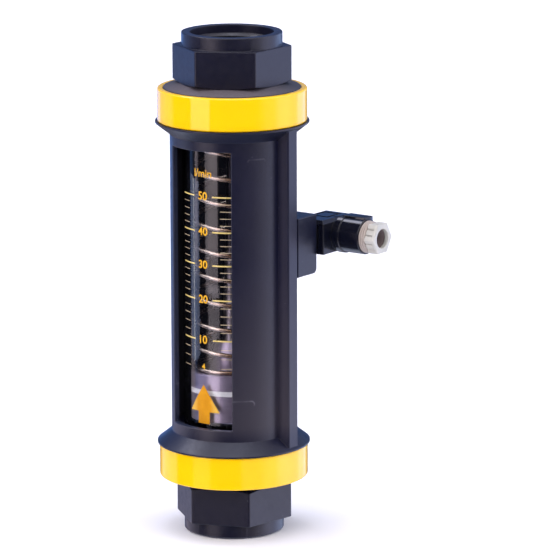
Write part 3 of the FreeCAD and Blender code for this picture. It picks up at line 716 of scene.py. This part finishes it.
# ---------------------------------------------------------------- print on the glass
def print_piece(name, bm, material, step=0.35, radius=GLASS_R + 0.004, thick=0.03):
    """bm holds flat faces in x (along the glass) and y (height). They get thickness and wrap round the glass."""
    bmesh.ops.remove_doubles(bm, verts=bm.verts[:], dist=1e-4)
    bmesh.ops.dissolve_degenerate(bm, edges=bm.edges[:], dist=1e-5)
    xs = [v.co.x for v in bm.verts]
    x = math.ceil(min(xs) / step) * step
    while x < max(xs):
        bmesh.ops.bisect_plane(bm, geom=bm.verts[:] + bm.edges[:] + bm.faces[:], plane_co=(x, 0, 0), plane_no=(1, 0, 0), dist=1e-4)
        x += step
    for f in bm.faces:
        f.normal_update()
        if f.normal.z < 0:
            f.normal_flip()
    faces = bm.faces[:]
    made = bmesh.ops.extrude_face_region(bm, geom=faces, use_keep_orig=True)
    lifted = {g for g in made["geom"] if isinstance(g, bmesh.types.BMVert)}
    for v in bm.verts:
        r = radius + (thick if v in lifted else 0.0)
        az = v.co.x / GLASS_R
        v.co = polar(r, az, v.co.y)
    ob = finish_mesh(name, bm, "root", sharp=40.0)
    ob.data.materials.append(material)
    return ob


def flat_polygon(bm, pts):
    bm.faces.new([bm.verts.new((x, y, 0)) for x, y in pts])


def flat_text(bm, text, height, cx, cy, weight=0.0, widen=1.0):
    """Adds the text's faces, centred on (cx, cy), with digits of the given height."""
    cu = bpy.data.curves.new("t", "FONT")
    cu.body = text
    cu.align_x = "CENTER"
    cu.size = 1.0
    cu.offset = weight
    cu.resolution_u = 6
    cu.fill_mode = "FRONT"
    ob = bpy.data.objects.new("t", cu)
    scene.collection.objects.link(ob)
    bpy.context.view_layer.update()
    me = bpy.data.meshes.new_from_object(ob.evaluated_get(bpy.context.evaluated_depsgraph_get()))
    ys = [v.co.y for v in me.vertices]
    xs = [v.co.x for v in me.vertices]
    y0, y1, xm = min(ys), max(ys), (min(xs) + max(xs)) / 2
    s = height / (y1 - y0)
    index = {}
    for v in me.vertices:
        index[v.index] = bm.verts.new((cx + (v.co.x - xm) * s * widen, cy + (v.co.y - (y0 + y1) / 2) * s, 0))
    for p in me.polygons:
        try:
            bm.faces.new([index[i] for i in p.vertices])
        except ValueError:
            pass
    bpy.data.objects.remove(ob)
    bpy.data.curves.remove(cu)
    bpy.data.meshes.remove(me)


SCALE = {4: 68.7, 6: 72.6, 8: 76.3, 10: 79.9, 20: 96.1, 30: 110.0, 40: 123.3, 50: 137.3}


def scale_z(q):
    """Height on the scale of a flow in litres per minute, smooth between the measured marks."""
    ks = sorted(SCALE)
    if q in SCALE:
        return SCALE[q]
    i = max(k for k in range(len(ks) - 1) if ks[k] < q)
    def tangent(j):
        if j == 0:
            return (SCALE[ks[1]] - SCALE[ks[0]]) / (ks[1] - ks[0])
        if j == len(ks) - 1:
            return (SCALE[ks[-1]] - SCALE[ks[-2]]) / (ks[-1] - ks[-2])
        return (SCALE[ks[j + 1]] - SCALE[ks[j - 1]]) / (ks[j + 1] - ks[j - 1])
    h = ks[i + 1] - ks[i]
    t = (q - ks[i]) / h
    p0, p1, m0, m1 = SCALE[ks[i]], SCALE[ks[i + 1]], tangent(i) * h, tangent(i + 1) * h
    return (2 * t ** 3 - 3 * t * t + 1) * p0 + (t ** 3 - 2 * t * t + t) * m0 + (3 * t * t - 2 * t ** 3) * p1 + (t ** 3 - t * t) * m1


def arc(deg):
    return math.radians(deg) * GLASS_R


flows = [4, 6, 8] + list(range(10, 52, 2))
for name, is_long, inner, half, look in (("scale_long_marks", True, 12.5, 0.27, "print_pale"), ("scale_short_marks", False, 22.0, 0.13, "print_thin")):
    bm = bmesh.new()
    for q in flows:
        if (q % 10 == 0) != is_long:
            continue
        z = scale_z(q)
        for side in (-1, 1):
            a0, a1 = sorted((side * arc(inner), side * arc(35.0)))
            flat_polygon(bm, [(a0, z - half), (a1, z - half), (a1, z + half), (a0, z + half)])
    print_piece(name, bm, M[look])
bm = bmesh.new()
for text, z in (("50", 137.5), ("40", 123.4), ("30", 110.2), ("20", 96.25), ("10", 80.0)):
    flat_text(bm, text, 3.35, 0.0, z, 0.022, 0.98)
flat_text(bm, "4", 2.4, 0.0, 69.1, 0.018, 0.98)
flat_text(bm, "l/min", 3.2, 0.0, 146.5, 0.018, 0.98)
scale_print = print_piece("scale_print", bm, M["print_gold"])

bm = bmesh.new()
flat_polygon(bm, [(-arc(8.0), 46.0), (arc(8.0), 46.0), (arc(8.0), 50.8), (arc(20.5), 50.8), (0.0, 61.8), (-arc(20.5), 50.8), (-arc(8.0), 50.8)])
arrow_print = print_piece("arrow_print", bm, M["print_arrow"])


# ---------------------------------------------------------------- spring
def make_spring():
    """Left-hand coil with closed ends, on the same line as the CAD spring."""
    coil_r, pitch, wire = 14.7, 10.0, 0.875
    low_flat, low_ramp, high_flat, high_ramp = 0.4, 0.8, 0.3, 0.8
    z_low, z_high = 65.4 + wire + 0.04, 165.0 - wire - 0.04
    turns = (z_high - z_low) / pitch + low_flat + low_ramp / 2 + high_flat + high_ramp / 2
    open_z = z_low - pitch * (low_flat + low_ramp / 2)
    a0 = math.radians(36.5) + (73.1 - open_z) / pitch * 2 * math.pi

    def rise(t):
        if t < low_flat + low_ramp:
            u = max(0.0, (t - low_flat) / low_ramp)
            return z_low + pitch * low_ramp * (u ** 3 - u ** 4 / 2), pitch * (3 * u * u - 2 * u ** 3)
        if t > turns - high_flat - high_ramp:
            u = max(0.0, (turns - high_flat - t) / high_ramp)
            return z_high - pitch * high_ramp * (u ** 3 - u ** 4 / 2), pitch * (3 * u * u - 2 * u ** 3)
        return open_z + pitch * t, pitch

    per_turn, around = 112, 18
    steps = int(round(turns * per_turn))
    bm = bmesh.new()
    rings = []
    for i in range(steps + 1):
        t = turns * i / steps
        a = a0 - 2 * math.pi * t
        z, dz = rise(t)
        p = polar(coil_r, a, z)
        tan = Vector((-2 * math.pi * coil_r * math.cos(a), -2 * math.pi * coil_r * math.sin(a), dz)).normalized()
        out = Vector((math.sin(a), -math.cos(a), 0))
        side = tan.cross(out).normalized()
        out = side.cross(tan).normalized()
        # the wire's ends are cut off and slightly rounded
        w_end = min(i, steps - i)
        r = wire * (0.80 if w_end == 0 else 1.0)
        ring = []
        for k in range(around):
            w = 2 * math.pi * k / around
            ring.append(bm.verts.new(p + out * (r * math.cos(w)) + side * (r * math.sin(w))))
        rings.append(ring)
    for a, b in zip(rings, rings[1:]):
        for k in range(around):
            bm.faces.new((a[k], a[(k + 1) % around], b[(k + 1) % around], b[k]))
    bm.faces.new(list(reversed(rings[0])))
    bm.faces.new(rings[-1])
    ob = finish_mesh("spring_wire", bm, "root", sharp=60.0)
    ob.data.materials.append(M["spring_steel"])
    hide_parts("spring")
    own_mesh(ob)
    return ob


make_spring()


# ---------------------------------------------------------------- floor and studio
def stage_plane(name, size, z, material):
    me = bpy.data.meshes.new(name)
    s = size / 2
    me.from_pydata([(-s, -s, z), (s, -s, z), (s, s, z), (-s, s, z)], [], [(0, 1, 2, 3)])
    me.materials.append(material)
    ob = bpy.data.objects.new(name, me)
    scene.collection.objects.link(ob)
    return ob


m = Mat("floor_pale")
m.colour(m.ramp(m.noise(6.0, 2.0, 0.5), [(0.0, (0.86, 0.86, 0.87)), (1.0, (0.90, 0.90, 0.91))]))
m.set(Roughness=0.9)
m.b.inputs["Specular IOR Level"].default_value = 0.1
floor = stage_plane("floor", 14.0, -0.0005, m.m)
floor.visible_glossy = False
floor.visible_transmission = False


def reflection_card(name, az, half_width, distance, z0, z1, colour):
    """Upright light card that only shows in reflections. az is counted from the front view."""
    a = VIEW_AZ + math.radians(az)
    out = Vector((math.sin(a), -math.cos(a), 0))
    side = Vector((math.cos(a), math.sin(a), 0))
    m = bpy.data.materials.new(name)
    m.use_nodes = True
    nt = m.node_tree
    nt.nodes.clear()
    o = nt.nodes.new("ShaderNodeOutputMaterial")
    e = nt.nodes.new("ShaderNodeEmission")
    e.inputs["Color"].default_value = (*colour, 1)
    nt.links.new(e.outputs[0], o.inputs["Surface"])
    pts = []
    for s_, z in ((-1, z0), (1, z0), (1, z1), (-1, z1)):
        p = out * distance + side * (half_width * s_)
        pts.append((p.x * MM, p.y * MM, z * MM))
    me = bpy.data.meshes.new(name)
    me.from_pydata(pts, [], [(0, 1, 2, 3)])
    me.materials.append(m)
    ob = bpy.data.objects.new(name, me)
    scene.collection.objects.link(ob)
    ob.visible_camera = False
    ob.visible_diffuse = False
    ob.visible_shadow = False
    ob.visible_transmission = False
    ob.visible_volume_scatter = False
    return ob


reflection_card("card_left", -95, 74, 300, -8, 106, (1.15, 1.35, 2.15))
reflection_card("card_left_line", -98, 9, 298, -8, 106, (4.4, 4.6, 5.2))


def make_world():
    """Soft studio as light from directions. az is counted from the front view, negative to the left."""
    w = bpy.data.worlds.new("studio")
    scene.world = w
    w.use_nodes = True
    nt = w.node_tree
    nt.nodes.clear()
    out = nt.nodes.new("ShaderNodeOutputWorld")
    tc = nt.nodes.new("ShaderNodeTexCoord")
    sep = nt.nodes.new("ShaderNodeSeparateXYZ")
    nt.links.new(tc.outputs["Generated"], sep.inputs[0])

    def math_node(op, a, b=None, c=None, clamp=False):
        n = nt.nodes.new("ShaderNodeMath")
        n.operation = op
        n.use_clamp = clamp
        for i, v in enumerate((a, b, c)):
            if v is None:
                continue
            if isinstance(v, bpy.types.NodeSocket):
                nt.links.new(v, n.inputs[i])
            else:
                n.inputs[i].default_value = v
        return n.outputs[0]

    x, y, z = sep.outputs
    ca, sa = math.cos(VIEW_AZ), math.sin(VIEW_AZ)
    # towards the camera: (sin az, -cos az); to the camera's right: (cos az, sin az)
    toward = math_node("ADD", math_node("MULTIPLY", x, sa), math_node("MULTIPLY", y, -ca))
    rightward = math_node("ADD", math_node("MULTIPLY", x, ca), math_node("MULTIPLY", y, sa))
    az = math_node("ARCTAN2", rightward, toward)
    el = math_node("ARCSINE", z)
    D = math.pi / 180

    def step(v, edge, soft, up=True):
        n = nt.nodes.new("ShaderNodeMapRange")
        n.interpolation_type = "SMOOTHSTEP"
        nt.links.new(v, n.inputs["Value"])
        n.inputs["From Min"].default_value = (edge - soft) * D
        n.inputs["From Max"].default_value = (edge + soft) * D
        n.inputs["To Min"].default_value = 0.0 if up else 1.0
        n.inputs["To Max"].default_value = 1.0 if up else 0.0
        return n.outputs["Result"]

    def lobe(az0, az1, e0, e1, soft=4.0, soft_e=8.0):
        if az0 <= -185 and az1 >= 185:
            return math_node("MULTIPLY", step(el, e0, soft_e), step(el, e1, soft_e, False))
        a = math_node("MULTIPLY", step(az, az0, soft), step(az, az1, soft, False))
        e = math_node("MULTIPLY", step(el, e0, soft_e), step(el, e1, soft_e, False))
        return math_node("MULTIPLY", a, e)

    total = None
    def add(fac, colour):
        nonlocal total
        n = nt.nodes.new("ShaderNodeMix")
        n.data_type = "RGBA"
        n.blend_type = "ADD"
        n.clamp_result = False
        if isinstance(fac, bpy.types.NodeSocket):
            nt.links.new(fac, n.inputs[0])
        else:
            n.inputs[0].default_value = fac
        if total is None:
            n.inputs[6].default_value = (0, 0, 0, 1)
        else:
            nt.links.new(total, n.inputs[6])
        n.inputs[7].default_value = (*colour, 1)
        total = n.outputs[2]

    for az0, az1, e0, e1, soft, soft_e, colour in STUDIO:
        add(lobe(az0, az1, e0, e1, soft, soft_e), colour)
    add(1.0, STUDIO_BASE)

    bg = nt.nodes.new("ShaderNodeBackground")
    nt.links.new(total, bg.inputs["Color"])
    white = nt.nodes.new("ShaderNodeBackground")
    white.inputs["Color"].default_value = (1, 1, 1, 1)
    lp = nt.nodes.new("ShaderNodeLightPath")
    mx = nt.nodes.new("ShaderNodeMixShader")
    nt.links.new(lp.outputs["Is Camera Ray"], mx.inputs[0])
    nt.links.new(bg.outputs[0], mx.inputs[1])
    nt.links.new(white.outputs[0], mx.inputs[2])
    nt.links.new(mx.outputs[0], out.inputs["Surface"])


STUDIO_BASE = (0.03, 0.03, 0.05)
STUDIO = [
    # az0, az1, el0, el1, softness, softness in elevation, colour
    # upright faces mirror the strip from 9 to 16 degrees below the horizon
    (-190, -152, -13, 22, 5, 1.5, (0.06, 0.14, 0.36)),            # dim blue backdrop, behind
    (-152, -104, -13, 22, 5, 1.5, (0.16, 0.33, 0.80)),            # and left
    (-66, -35, -12.6, 45, 1.4, 0.35, (2.3, 2.0, 2.20)),           # tall soft box, left of the camera
    (-66, -38, -40, -14.4, 4, 0.5, (0.9, 0.75, 0.75)),
    (48, 100, -40, 50, 12, 10, (0.75, 0.72, 0.78)),               # large soft box to the right
    (72, 124, -30, 30, 8, 6, (0.75, 0.85, 1.35)),
    (118, 152, -14, 24, 6, 2, (0.45, 0.60, 1.00)),
    (152, 190, -14, 24, 6, 2, (0.06, 0.14, 0.36)),
    (-174, -145, -12.3, 4, 2, 0.5, (0.22, 0.52, 1.35)),           # pale blue cards that the ring's edges mirror
    (121, 150, -12.0, 8, 3, 0.8, (0.5, 0.75, 1.40)),
    (121, 150, -40, -13.4, 3, 0.5, (0.5, 0.75, 1.30)),
    (-150, -100, -40, -13.3, 4, 0.8, (1.20, 1.02, 1.15)),         # table top
    (12, 150, -40, -13.0, 5, 1.0, (0.70, 0.62, 0.68)),
    (-190, -150, -40, -13.3, 4, 0.8, (0.14, 0.14, 0.20)),
    (150, 190, -40, -13.3, 4, 0.8, (0.14, 0.14, 0.20)),
    (-190, 190, -91, -38, 4, 6, (0.9, 1.0, 1.3)),
    (110, 190, 27, 62, 8, 4, (0.40, 0.45, 0.70)),                 # backdrop's upper part
    (-190, -110, 27, 62, 8, 4, (0.20, 0.28, 0.52)),
    (-160, -98, 47, 60, 3, 2, (4.9, 4.9, 5.7)),                   # high box, left and behind
    (-110, 110, 16, 66, 10, 5, (1.35, 1.30, 1.30)),               # front and side fill
    (-190, 190, 62, 91, 4, 4, (1.1, 1.1, 1.15)),
    (-190, 190, 77, 91, 4, 2.5, (3.6, 3.7, 4.2)),                 # overhead box
]
make_world()
